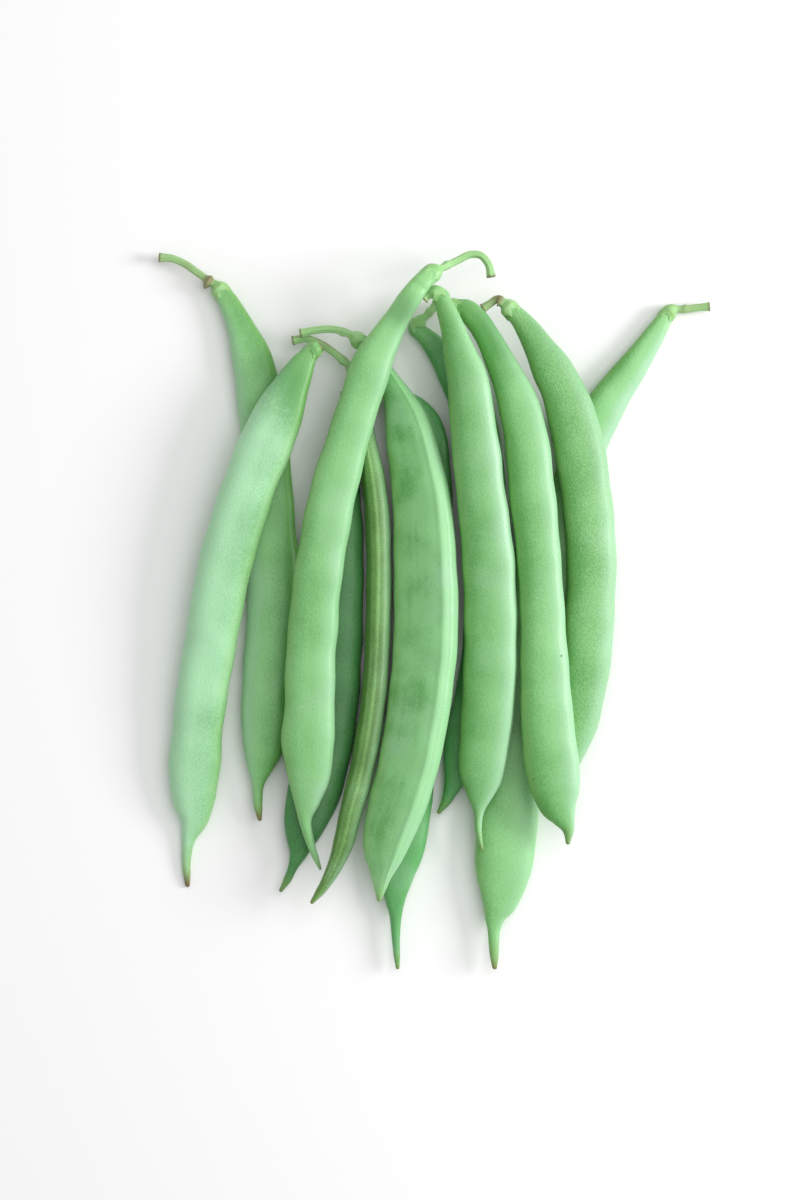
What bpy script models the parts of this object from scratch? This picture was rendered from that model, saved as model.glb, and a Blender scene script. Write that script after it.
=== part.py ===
"""Green bean bundle: thirteen flat green bean pods that lie loose together as one bunch.

Each pod grew in one piece: a cut stalk, a small calyx cup, a neck, a flat body with seam
ridges and seed swellings, and a thin beak.  One pod is one closed loft and one object.

The pods are laid one after another, as by hand.  Each is an almost stiff beam: it comes
down until it rests, on the surface or on the pods already there, at one place on either
side of its own middle.  It keeps a small clearance to everything under it.

The tables are in millimetres and the scene in metres, with +Z up and the stalks towards
+Y.  The origin is on the surface under the middle of the bunch.
"""

import bmesh
import bpy
import numpy as np

# Sizes of every pod, in millimetres
MM = 0.001
STALK_WIDTH = 2.2
CUT_END_SWELL = 0.3
CUP_LENGTH = 4.2
CUP_STEP = 0.35
THICKNESS = 8.0
SECTION_POWER = 2.8
SLIM_POWER = 0.65
SEAM_RIDGE = 0.28
SEAM_SPREAD = 0.9
SEED_PITCH = 15.5
SEED_SWELL = 0.05
EDGE_WAVE = 0.1

# How the pods lie
CLEARANCE = 0.35
PRESSED_FLAT = 0.35
STEEPEST = 0.25
BEND_REACH = 7.0
MAP_CELL = 0.25
MAP_HALF = 130.0
PLAN_SHIFT = (0.0, 0.3)

# Rings of one loft: their angles in degrees from the seam edge, and their spacing
RING_ANGLES = (0, 11, 38, 74, 106, 142, 165, 180, 195, 218, 254, 286, 322, 349)
STALK_STEP = 3.4
BODY_RINGS = 25
LAY_ANGLES = np.arange(0, 360, 3.75)
LAY_STEP = 0.4


class Pod:
    """One pod.

    stalk holds (x, y) from the cut end to the cup, and body holds (x, y, width) from the
    cup's lip to the tip of the beak.  roll turns the +X side up, in degrees, sag bends
    both ends down, and seam is the side of the double seam ridge.  A grounded pod lies on
    the surface, beside its neighbours.
    """

    def __init__(self, name, stalk, body, colour, grounded=False, roll=0.0, thick=THICKNESS, sag=0.0, seam=1):
        self.name = name
        self.grounded = grounded
        self.colour = colour
        self.roll = np.radians(roll)
        self.thick = thick
        self.sag = sag
        self.seam = seam
        self.line = np.array(stalk + [row[:2] for row in body], float)
        steps = np.hypot(*np.diff(self.line, axis=0).T)
        self.knots = np.concatenate([[0.0], np.cumsum(steps)])
        self.lip = self.knots[len(stalk)]
        self.length = self.knots[-1]
        self.widths = np.array([row[2] for row in body], float)
        self.width_knots = self.knots[len(stalk):]
        self.heights = None


# The pods in the order in which they are laid, lowest first
PODS = [
    Pod(
        "pod_b",
        [(-83, 106.5), (-79.4, 106.2), (-74.9, 104.4), (-71.9, 102.3), (-68.9, 100.2), (-66.2, 98.4)],
        [(-64.1, 96, 5), (-59.3, 87.3, 7.6), (-54.9, 75.3, 12.1), (-52, 57.3, 13.7), (-49.7, 27.3, 15.3),
         (-48.5, 3.3, 15.7), (-50.6, -26.7, 15), (-51.4, -40, 12.8), (-52.5, -46.8, 8.1),
         (-53.1, -52, 3.9), (-53.2, -57, 2.9), (-52.5, -63.6, 2)],
        colour=(104, 176, 104), grounded=True, thick=7.6,
    ),
    Pod(
        "pod_d",
        [(-26.8, 66), (-27, 62)],
        [(-27.2, 58.8, 4.5), (-28.6, 51.3, 8), (-29.2, 42.3, 12), (-29, 27.3, 14.4),
         (-29, 3.3, 15), (-29.6, -14.7, 15), (-30.9, -31.2, 15.2), (-33.3, -44.7, 15.2),
         (-36.9, -56.7, 15.6), (-39.3, -64.5, 12.4), (-40.2, -68.7, 9.2), (-41.1, -73.2, 5.4),
         (-42.6, -77.1, 3), (-44.3, -81, 2.4), (-46.7, -84.9, 1.8)],
        colour=(78, 146, 92), grounded=True, thick=7.6,
    ),
    Pod(
        "pod_g",
        [(-17.5, 70.5), (-15.5, 68.5)],
        [(-13.6, 66.6, 4.8), (-10, 63.6, 6), (-6.6, 60.8, 8.6), (-3.9, 56.8, 10.8), (-2.4, 51.5, 11.9),
         (-1.9, 43.8, 13.2), (-2.2, 24.3, 15.2), (-3, 3.3, 15.9), (-5, -20.7, 16), (-7.1, -40.2, 16),
         (-8.6, -56.7, 15.7), (-9.9, -70.2, 14.2), (-11.4, -79.2, 11), (-11.9, -86.1, 6.6),
         (-11.7, -91.2, 4), (-11.6, -98.7, 2.5), (-11, -108.3, 1.8)],
        colour=(86, 158, 90), grounded=True, thick=7.6,
    ),
    Pod(
        "pod_h",
        [(0.8, 92.7), (-2, 89.4), (-4.1, 87.6)],
        [(-5.3, 85.5, 4.4), (-2.3, 82.2, 5.6), (0.5, 79.2, 7), (5.3, 72.6, 10), (8.2, 67.8, 11.4),
         (11.6, 58.8, 12.6), (14.1, 43.8, 13.4), (15.4, 24.3, 13.4), (15.6, 3.3, 13.2), (14.9, -11.7, 13.2),
         (12.8, -25.2, 13.2), (10.3, -35.7, 13.2), (8.3, -44.1, 11.6), (6.7, -49.5, 8), (5.3, -53.1, 5),
         (3.7, -57, 3.2), (0.9, -61.3, 1.8)],
        colour=(74, 140, 84), grounded=True, thick=7.6,
    ),
    Pod(
        "pod_m",
        [(83, 91.8), (79.7, 91.5), (75.2, 90.9), (72, 90.8)],
        [(70.1, 89.2, 4.2), (67.6, 85.4, 5.6), (63.7, 79.4, 7.2), (58.9, 72.5, 9.2), (53.7, 65.4, 11),
         (48.8, 57, 12.2), (44.3, 46.8, 13), (41.2, 33.3, 13), (39.5, 15.3, 11.6), (39, 0.3, 9.2),
         (38.6, -10.2, 6.2), (38.3, -16.2, 4), (38, -24.3, 2)],
        colour=(96, 166, 96), grounded=True, thick=6.8,
    ),
    Pod(
        "pod_k",
        [(29.3, 40.5), (28.9, 37.5)],
        [(28.4, 34.5, 4.6), (28.2, 27, 6.6), (28, 15.3, 8), (28.1, 3.3, 9.2), (28.1, -8.7, 10.4),
         (27, -23.7, 12.2), (24.5, -41.7, 15.6), (22.5, -58.2, 17.8), (21.2, -71.7, 18), (20.7, -78.3, 16.5),
         (20.1, -83.7, 13.8), (19.2, -88.5, 10.2), (18.2, -92.1, 6.4), (17.9, -95.7, 4),
         (17.9, -100.2, 3.2), (18.2, -108.3, 2.2)],
        colour=(116, 190, 118), grounded=True, thick=7.6,
    ),
    Pod(
        "pod_e",
        [(-42.8, 81.3), (-38.9, 81.9), (-34.4, 80.4), (-29.9, 77.4), (-26, 74.1)],
        [(-23.5, 71.1, 4.5), (-21.7, 63.3, 6.5), (-20.5, 51.3, 10.5), (-18.8, 42.3, 13), (-17.6, 33.3, 14.2),
         (-16.7, 15.3, 14.5), (-16.9, -2.7, 14.5), (-17.7, -20.7, 14.5), (-19.8, -37.2, 14.5),
         (-22.7, -51.6, 13.8), (-25.3, -61.2, 12.8), (-27.2, -69.3, 11), (-30.2, -77.1, 7),
         (-33.2, -82.5, 4), (-37.2, -87.9, 1.8)],
        colour=(112, 182, 104), roll=86, thick=7.2,
    ),
    Pod(
        "pod_a",
        [(-33.8, 79.4), (-35.2, 78.7)],
        [(-36.9, 77.6, 4.6), (-38.7, 75.3, 6.4), (-42, 69.3, 9.8), (-47.5, 57.3, 15), (-54.9, 39.3, 15.8),
         (-62.5, 15.3, 16), (-67.2, -8.7, 15.6), (-71, -32.7, 15.1), (-72.5, -50.7, 14.8),
         (-72.6, -56.7, 12.9), (-72.5, -62.7, 8.6), (-74.1, -68.7, 4.2), (-74.8, -74.7, 2.8),
         (-74.4, -83.7, 2)],
        colour=(156, 216, 158), roll=4, sag=3,
    ),
    Pod(
        "pod_l",
        [(14.3, 90.6), (16.7, 92.1), (18.8, 93.4), (20.9, 92.2)],
        [(23, 90, 5), (25.4, 87.6, 5.8), (28, 84.2, 7.2), (31.6, 78.3, 9.4), (35.1, 72.3, 11.8),
         (38.2, 66.3, 13), (42.1, 54.3, 15), (44.4, 42.3, 15), (46, 29.7, 15), (47, 15.3, 14.8),
         (46.5, 0.3, 14.8), (45.5, -13.2, 15), (43.6, -25.2, 14.8), (41, -36.3, 13.8), (39.3, -43.8, 10.2),
         (38.2, -48.9, 6.4), (37.4, -52.2, 4), (36.9, -57.3, 2)],
        colour=(122, 190, 118), roll=-6, sag=2,
    ),
    Pod(
        "pod_f",
        [(-40.4, 83.4), (-35.9, 84.3), (-31.4, 84.6), (-26.9, 83.7), (-24.4, 82.4)],
        [(-22.3, 80.7, 4.6), (-17.9, 77.1, 5.2), (-14.5, 70.5, 6.2), (-11.2, 64.2, 9), (-8.8, 57.9, 13.2),
         (-6.3, 46.8, 16.2), (-4, 33.3, 18.4), (-2.9, 15.3, 20), (-2.6, -2.7, 20.5), (-3.4, -17.7, 20.2),
         (-5.5, -33.3, 19.7), (-8.3, -47.7, 18.9), (-11.8, -59.7, 17.7), (-14.1, -67.2, 15.5),
         (-15.5, -74.7, 10.8), (-16.1, -80.4, 5.4), (-16.6, -87, 2.2)],
        colour=(132, 196, 122), roll=28, thick=9.2, sag=2,
    ),
    Pod(
        "pod_j",
        [(4, 91), (5.2, 90.9)],
        [(6.6, 90.6, 5), (9.2, 90.1, 6.2), (12.2, 87.3, 7), (15.6, 82.2, 7.3), (19.1, 75.3, 8.6),
         (24.4, 63.3, 11.6), (27.3, 51.3, 13), (28.9, 36.3, 13.8), (30.7, 19.8, 13.2), (32, 1.8, 13.2),
         (32.7, -14.7, 14.2), (33.5, -31.2, 15.7), (35, -46.2, 16), (36, -52.8, 15), (37.1, -58.5, 11.2),
         (38.7, -62.1, 7), (39.9, -65.1, 4), (39.9, -70.2, 2)],
        colour=(112, 186, 116), sag=3,
    ),
    Pod(
        "pod_i",
        [(-3.4, 93), (-2.2, 94), (-0.7, 94.8)],
        [(1.4, 93.9, 4.6), (3.1, 90.3, 5.6), (5.1, 84.9, 6.9), (7.3, 77.1, 9.4), (9.8, 68.7, 12.2),
         (10.9, 58.8, 13.2), (12.4, 46.8, 14.4), (13.6, 35.7, 14.4), (15.4, 21.3, 15.4), (16.6, 0.3, 15.8),
         (16.3, -22.2, 15.9), (15.3, -35.7, 15.4), (14.2, -45.9, 14), (13.9, -51.3, 11.6),
         (13.5, -56.1, 7), (13.3, -60.3, 3.2), (13.2, -65.7, 2), (14.4, -72, 1.5)],
        colour=(120, 194, 122), roll=13, sag=3,
    ),
    Pod(
        "pod_c",
        [(17, 99.9), (16.1, 103.8), (13.7, 106.5), (10.7, 106.7), (7.7, 105.3), (3.2, 102.9), (0.8, 101.7)],
        [(-1.4, 100.2, 5.2), (-7.4, 93.3, 6.6), (-11.4, 87.3, 7.4), (-14.9, 81.3, 9.3), (-18.2, 75.3, 11.7),
         (-22.2, 63.3, 12), (-26, 51.3, 12.5), (-29.4, 39.3, 13.6), (-34.2, 15.3, 14.2),
         (-36.8, -8.7, 14.8), (-37.7, -32.7, 15.3), (-38, -39.3, 15.9), (-37.7, -45.3, 14.4),
         (-37.8, -50.7, 12.2), (-38.3, -56.7, 8.2), (-38.8, -62.7, 4), (-37.5, -68.7, 2.7),
         (-34.1, -78, 1.4)],
        colour=(134, 206, 138), roll=5, sag=4,
    ),
]


def clear_scene():
    """Removes every object of the scene."""
    for item in list(bpy.data.objects):
        bpy.data.objects.remove(item, do_unlink=True)


def smooth(knots, values, places):
    """A smooth curve through values at knots, read at places."""
    slopes = np.gradient(values, knots, axis=0)
    cell = np.clip(np.searchsorted(knots, places, side="right") - 1, 0, len(knots) - 2)
    span = knots[cell + 1] - knots[cell]
    t = (places - knots[cell]) / span
    if np.ndim(values) > 1:
        t = t[:, None]
        span = span[:, None]
    first = values[cell] * (2 * t**3 - 3 * t**2 + 1)
    last = values[cell + 1] * (3 * t**2 - 2 * t**3)
    leave = slopes[cell] * span * (t**3 - 2 * t**2 + t)
    arrive = slopes[cell + 1] * span * (t**3 - t**2)
    return first + last + leave + arrive


def ease(x):
    """Rises smoothly from 0 to 1 as x does."""
    x = np.clip(x, 0.0, 1.0)
    return x * x * (3 - 2 * x)


def half_width(pod, places):
    """Half of the pod's width at places along it: stalk, cup, then body."""
    body = smooth(pod.width_knots, pod.widths, np.maximum(places, pod.lip)) / 2
    wave = EDGE_WAVE * np.sin(2 * np.pi * (places - pod.lip) / SEED_PITCH)
    body = body + wave * ease((body - 3) / 3)
    stalk = STALK_WIDTH / 2 * (1 + CUT_END_SWELL * np.exp(-places / 1.5))
    cup = pod.widths[0] / 2 + CUP_STEP
    opening = ease((places - pod.lip + CUP_LENGTH) / (CUP_LENGTH * 0.75))
    return np.where(places < pod.lip, stalk + (cup - stalk) * opening, body)


def half_thickness(pod, places, across):
    """Half of the thickness: the stalk and cup are round, the body is flat."""
    widest = pod.widths.max() / 2
    flat = pod.thick / 2 * (across / widest) ** SLIM_POWER
    return np.where(places < pod.lip, across, np.minimum(flat, across * 0.95))


def seed_swelling(pod, places):
    """0 to 1 over each seed along the body, and 0 at the neck and the beak."""
    along = (places - pod.lip) / (pod.length - pod.lip)
    there = ease((along - 0.1) / 0.08) * ease((0.86 - along) / 0.08)
    return there * (0.5 + 0.5 * np.cos(2 * np.pi * (places - pod.lip) / SEED_PITCH))


def middle_line(pod, places):
    """Points of the pod's middle line, and the directions along, to the side and up."""
    plan = smooth(pod.knots, pod.line, places)
    heights = np.zeros(len(places)) if pod.heights is None else np.interp(places, *pod.heights)
    points = np.column_stack([plan, heights])
    along = np.gradient(points, places, axis=0)
    along /= np.linalg.norm(along, axis=1)[:, None]
    side = np.cross((0.0, 0.0, 1.0), along)
    side /= np.linalg.norm(side, axis=1)[:, None]
    up = np.cross(along, side)
    return points, side, up


def pod_surface(pod, places, angles):
    """The pod's skin as rings of points, one ring for each place and one point for each angle."""
    points, side, up = middle_line(pod, places)
    a = half_width(pod, places)[:, None]
    b = half_thickness(pod, places, a[:, 0])[:, None]
    flatness = ease((a / b - 1.15) / 0.4)
    power = 2 / (2 + (SECTION_POWER - 2) * flatness)
    turn = np.radians(angles)[None, :]
    across = a * np.sign(np.cos(turn)) * np.abs(np.cos(turn)) ** power
    rise = b * np.sign(np.sin(turn)) * np.abs(np.sin(turn)) ** power
    rise = rise * (1 + SEED_SWELL * seed_swelling(pod, places)[:, None] * (2 * np.abs(np.sin(turn)) - 1))
    double = np.exp(-(((np.abs(rise) - SEAM_SPREAD) / 0.45) ** 2)) - 0.9 * np.exp(-((rise / 0.5) ** 2))
    single = np.exp(-((rise / 0.6) ** 2))
    ridge = np.where(np.cos(turn) > 0, double, -0.6 * single)
    across = (across + SEAM_RIDGE * flatness * ridge) * pod.seam
    out = across * np.cos(pod.roll) - rise * np.sin(pod.roll)
    lift = across * np.sin(pod.roll) + rise * np.cos(pod.roll)
    return points[:, None] + out[:, :, None] * side[:, None] + lift[:, :, None] * up[:, None]


class HeightMap:
    """The top of everything laid so far, on a grid over the surface."""

    def __init__(self):
        count = int(2 * MAP_HALF / MAP_CELL)
        self.top = np.zeros((count, count))

    def cells(self, points):
        return ((points[..., :2] + MAP_HALF) / MAP_CELL).astype(int)

    def add(self, points):
        """Raises the map under each point, and in the cells round it."""
        cells = self.cells(points)
        for step in np.ndindex(3, 3):
            shifted = cells + np.array(step) - 1
            np.maximum.at(self.top, (shifted[..., 0], shifted[..., 1]), points[..., 2])

    def keep_above(self, points):
        """The height that each point must keep above."""
        cells = self.cells(points)
        top = self.top[cells[..., 0], cells[..., 1]]
        return np.where(top > 0, top + CLEARANCE, -PRESSED_FLAT)


def lay(pod, ground):
    """Finds the heights of the pod's middle line, then adds the pod to the ground."""
    places = np.arange(0, pod.length, LAY_STEP)
    skin = pod_surface(pod, places, LAY_ANGLES)
    below = -PRESSED_FLAT if pod.grounded else ground.keep_above(skin)
    need = (below - skin[..., 2]).max(axis=1)
    weight = half_width(pod, places) ** 1.6
    middle = (places * weight).sum() / weight.sum()
    away = places - middle
    reach = (pod.length - pod.lip) / 2
    bow = -pod.sag * np.minimum(np.abs(away) / reach, 1.15) ** 2
    body = (places > pod.lip + 0.04 * pod.length) & (places < pod.lip + 0.92 * (pod.length - pod.lip))
    slopes = np.linspace(-STEEPEST, STEEPEST, 501)
    rises = ((need - bow)[body][None, :] - slopes[:, None] * away[body][None, :]).max(axis=1)
    best = rises.argmin()
    line = rises[best] + slopes[best] * away + bow
    short = np.maximum(need - line, 0.0)
    spread = np.exp(-(((places[:, None] - places[None, :]) / BEND_REACH) ** 2))
    pod.heights = (places, line + (spread * short[None, :]).max(axis=1))
    ground.add(pod_surface(pod, places, LAY_ANGLES))


def ring_places(pod):
    """Where the rings of a pod stand: along the stalk, round the cup, and along the body."""
    cup = pod.lip - CUP_LENGTH
    stalk = np.linspace(0, cup, max(2, round(cup / STALK_STEP) + 1)) if cup > 1 else np.array([0.0])
    calyx = pod.lip + np.array([-0.65 * CUP_LENGTH, -0.35 * CUP_LENGTH, -0.05, 0.3])
    t = np.linspace(0, 1, BODY_RINGS)
    even = t - 0.11 * np.sin(2 * np.pi * t) * np.abs(np.cos(np.pi * t))
    body = pod.lip + 1.6 + even * (pod.length - pod.lip - 1.6)
    return np.concatenate([stalk, calyx, body])


def make_material(name, colour):
    """A waxy green skin: colour is given as 8-bit sRGB."""
    material = bpy.data.materials.new(name)
    material.use_nodes = True
    shader = material.node_tree.nodes["Principled BSDF"]
    linear = [((c / 255 + 0.055) / 1.055) ** 2.4 for c in colour]
    shader.inputs["Base Color"].default_value = (*linear, 1.0)
    shader.inputs["Roughness"].default_value = 0.45
    shader.inputs["Metallic"].default_value = 0.0
    material.diffuse_color = (*linear, 1.0)
    return material


def add_ring(bm, points):
    """One closed ring of edges through the points."""
    corners = [bm.verts.new(point) for point in points]
    return [bm.edges.new((corners[i - 1], corner)) for i, corner in enumerate(corners)]


def build_pod(pod):
    """Lofts one pod through its rings and closes both ends."""
    rings = pod_surface(pod, ring_places(pod), np.array(RING_ANGLES))
    rings[..., 2] = np.maximum(rings[..., 2], 0.0)
    rings = (rings + (*PLAN_SHIFT, 0.0)) * MM
    bm = bmesh.new()
    loops = [add_ring(bm, ring) for ring in rings]
    for near, far in zip(loops, loops[1:]):
        bmesh.ops.bridge_loops(bm, edges=near + far)
    for end in (loops[0], loops[-1]):
        bmesh.ops.edgeloop_fill(bm, edges=end)
    bmesh.ops.triangulate(bm, faces=bm.faces[:])
    bmesh.ops.recalc_face_normals(bm, faces=bm.faces[:])
    mesh = bpy.data.meshes.new(pod.name)
    bm.to_mesh(mesh)
    bm.free()
    mesh.shade_smooth()
    mesh.materials.append(make_material(pod.name + "_skin", pod.colour))
    item = bpy.data.objects.new(pod.name, mesh)
    bpy.context.collection.objects.link(item)
    return item


def main():
    clear_scene()
    ground = HeightMap()
    for pod in PODS:
        lay(pod, ground)
        build_pod(pod)


if __name__ == "__main__":
    main()
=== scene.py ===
"""Green bean bundle: the finished looks of thirteen flat green bean pods that lie loose together.

Each packed pod is replaced by a finer one that is laid by the same rule: a ridged stalk
with a browned cut end, a calyx cup with pointed lobes, seam ridges, soft lumps over the
seeds and a rounded beak.  The tables are in millimetres and the scene in metres, with the
stalks towards +Y, and the surface that the pods lie on at height 0.
"""

import bpy
import numpy as np
from bpy.props import FloatProperty, FloatVectorProperty, IntProperty, PointerProperty
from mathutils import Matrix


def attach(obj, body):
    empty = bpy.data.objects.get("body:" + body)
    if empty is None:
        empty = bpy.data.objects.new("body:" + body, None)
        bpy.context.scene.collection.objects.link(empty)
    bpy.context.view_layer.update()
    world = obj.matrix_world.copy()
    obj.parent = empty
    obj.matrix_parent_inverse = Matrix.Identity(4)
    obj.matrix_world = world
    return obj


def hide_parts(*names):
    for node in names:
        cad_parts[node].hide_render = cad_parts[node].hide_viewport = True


bl_info = {
    "name": "Green bean bundle",
    "version": (1, 0, 0),
    "blender": (4, 5, 0),
    "location": "View3D > Sidebar > Beans",
    "description": "Lays a loose bunch of flat green bean pods and sets its stage",
    "category": "Object",
}

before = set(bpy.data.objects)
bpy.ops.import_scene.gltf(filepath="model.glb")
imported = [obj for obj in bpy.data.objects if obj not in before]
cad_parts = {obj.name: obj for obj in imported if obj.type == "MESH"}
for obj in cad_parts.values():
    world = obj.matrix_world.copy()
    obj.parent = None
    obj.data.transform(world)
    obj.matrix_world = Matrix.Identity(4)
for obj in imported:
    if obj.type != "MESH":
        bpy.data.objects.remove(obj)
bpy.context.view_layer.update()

# Sizes of every pod, in millimetres, and shares of them
MM = 0.001
STALK_WIDTH = 2.2
CUT_END_SWELL = 0.3
CUT_END_REACH = 1.5
CUP_LENGTH = 4.2
CUP_STEP = 0.35
CUP_WIDENS = 0.75
THICKNESS = 8.0
ROUNDEST = 0.95
SECTION_POWER = 2.8
SLIM_POWER = 0.65
FLAT_FROM = 1.15
FLAT_FADE = 0.4
SEED_PITCH = 15.5
SEED_SWELL = 0.05
SEEDS_FROM = 0.1
SEEDS_TO = 0.86
SEEDS_FADE = 0.08
EDGE_WAVE = 0.1
EDGE_WAVE_FROM = 3.0

# The double ridge along one seam and the single line along the other, in millimetres
LAID_RIDGE = 0.28
SEAM_SPREAD = 0.9
SEAM_WIDTH = 0.45
GROOVE_DEPTH = 0.9
GROOVE_WIDTH = 0.5
BACK_RIDGE = 0.6
BACK_GROOVE = 0.5
BACK_WIDTH = 0.6
DOUBLE_SEAM = ((-0.9, 0.5, 0.45), (0.0, -0.5, 0.45), (0.9, 0.5, 0.45))

# How the pods lie
CLEARANCE = 0.35
PRESSED_FLAT = 0.35
STEEPEST = 0.25
SLOPES_TRIED = 501
LEANS_FROM = 0.04
LEANS_TO = 0.92
BALANCE_POWER = 1.6
BOW_END = 1.15
BEND_REACH = 7.0
MAP_CELL = 0.25
MAP_HALF = 130.0
PLAN_SHIFT = (0.0, 0.3)
LAY_ANGLES = np.arange(0, 360, 3.75)
LAY_STEP = 0.4

# Where the fine rings stand, in millimetres, and how close they are, as shares of the ring step
CUT_INSET = 0.12
SHORTEST_STALK = 0.4
COLLAR = 3.4
BEAK_END = 4.0
STALK_RINGS = 0.8
CALYX_RINGS = 0.36
BEAK_RINGS = 0.6
RING_SAMPLES = 1441
SEAM_CROWDING = 1.6

# The rings that close the cut end, as (share of its radius, distance), and the beak's tip, in degrees
CUT_RINGS = ((0.0, 0.16), (0.55, 0.12), (0.84, -0.02), (0.96, 0.04))
CUT_PITCH = 0.4
TIP_ANGLES = (28, 52, 72, 90)

# Finer forms that only the looks have, in millimetres
LOBES = 5
LOBE_START = 0.3
LOBE_POWER = 1.4
LOBE_SET_BACK = 0.15
LOBE_EDGE = 0.3
CUP_FADE = 1.2
CUP_ROUNDING = 2.5
STALK_RIBS = 5
RIB_DEPTH = 0.07
RIB_TWIST = 0.12
RIBS_END = 1.0
RIBS_FADE = 2.0
KNOB_REACH = 0.9
KNOB_SIDE = 2.4
SCAR_REACH = 1.3
FACE_WIDTH = 0.62
FACE_FROM = 2.5
FACE_FADE = 3.0
HOLLOWS = 0.35
DRIFT_FROM = 1.5
DRIFT_FADE = 4.0
SLOW_WAVES = 7
WAVE_LENGTHS = (9.0, 34.0)
WAVE_TURNS = 4
WAVE_SEED = 11
GRAIN_SPREAD = 900
TIP_TAPER = 0.4
TIP_REACH = 5.0

# How the tone, the painted light, shade and sheen, and the browning are spread over a pod
PAINTED_RIDGE_SHADING = 0.08
BAND_FADE = 0.8
NECK_REACH = 34.0
PAINTED_SHEEN_REACH = 60.0
PAINTED_SHEEN_LOST = 0.7
PAINTED_SHEEN_FROM = 0.1
PAINTED_SHEEN_FADE = 0.85
UPPER_SLOPE = 1.5
UPPER_START = 0.6
LIT_TONE = 0.2
SCAR_BROWN = 0.6
PAINTED_SHADE_BELOW = 0.3

# Marks in the skin, as waves in a millimetre
PATCH_SCALE = 0.035
BLOOM_SCALE = 0.06
SPECK_SCALE = 0.11
MOTTLE_SCALE = 0.13
STREAK_SCALE = 0.4
ROUGH_SCALE = 1.8
PORE_SCALE = 2.0
STREAK_STRETCH = (0.1, 1.0, 1.0)

# How strongly the marks show in the skin
LEVEL_SPAN = 0.55
BLOOM_FADE = (0.5, 0.75)
BLOOM_SHARE = 0.4
PAINTED_SHEEN_SHARE = 1.5
SHADED_SIDE_FADE = (0.5, 1.0)
NECK_SHARE = 0.35
SPECK_SHARE = 0.8
CUT_SHARE = 0.75
SPECK_EDGE = (0.025, 0.05)
SPECK_PICK = (0.72, 0.74)
BROWN_FADE = (0.35, 0.85)
BLOTCH_FADE = (0.35, 0.65)

# Where the marks start and where they are full, in millimetres from the lip, the tip or the cut
NECK_FADE = (1.0, 11.0)
STALK_FADE = (-4.4, -2.8)
BEAK_FADE = (1.0, 9.0)
DRY_FADE = (0.2, 3.0)
CUT_FADE = (0.1, 0.9)

# The stage, in metres
KEY_PLACE = (0.35, 0.25, 1.1)
KEY_SIZE = 1.0
SIDE_PLACE = (1.0, 0.12, 0.52)
SIDE_SIZE = 0.42
CAMERA_PLAN = (-0.01035, 0.0036)
FLOOR_DROP = 0.00005


class Pod:
    """One pod.

    stalk holds (x, y) from the cut end to the cup, and body holds (x, y, width) from the
    cup's lip to the tip of the beak.  A grounded pod lies on the surface, beside its
    neighbours.  roll turns the +X side up, in degrees, thick is the thickness at the widest
    place, and sag bends both ends down.

    finish is the material slot, and tone makes the skin lighter or deeper.  lump is the
    height of the seeds under the skin.  ridges holds (distance round the pod from the seam,
    share of the full height, width) of the lines beside the seam, and band is (from, to,
    lightness) of the paler strip along it, with the upper side of an unrolled pod above 0.
    knob is (distance above the lip, size) of the bud scar on the stalk.  painted_light_side
    paints light and shade: one side lighter with a painted sheen, and the other deeper with
    the edge colour as painted shade; the +X side is the lit one where it is above 0.  neck
    makes the upper end lighter, or deeper with less painted sheen below 0; on pod_c it is
    painted light where the neck tilts away from the lamps.  cup says how far the calyx
    differs from the skin, and dry and brown how far the beak's point and the stalk have
    dried.
    """

    def __init__(self, name, stalk, body, finish, grounded=False, roll=0.0, thick=THICKNESS, sag=0.0,
                 tone=0.0, lump=0.07, ridges=DOUBLE_SEAM, band=(0.0, 0.0, 0.0), knob=(6.0, 0.2),
                 painted_light_side=0.0, neck=0.0, cup=0.7, dry=0.35, brown=0.3):
        self.name = name
        self.grounded = grounded
        self.finish = finish
        self.roll = np.radians(roll)
        self.thick = thick
        self.sag = sag
        self.tone = tone
        self.lump = lump
        self.ridges = ridges
        self.band = band
        self.knob = knob
        self.painted_light_side = painted_light_side
        self.neck = neck
        self.cup = cup
        self.dry = dry
        self.brown = brown
        self.line = np.array(stalk + [row[:2] for row in body], float)
        steps = np.hypot(*np.diff(self.line, axis=0).T)
        self.knots = np.concatenate([[0.0], np.cumsum(steps)])
        self.lip = self.knots[len(stalk)]
        self.length = self.knots[-1]
        self.widths = np.array([row[2] for row in body], float)
        self.width_knots = self.knots[len(stalk):]
        self.heights = None


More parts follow.
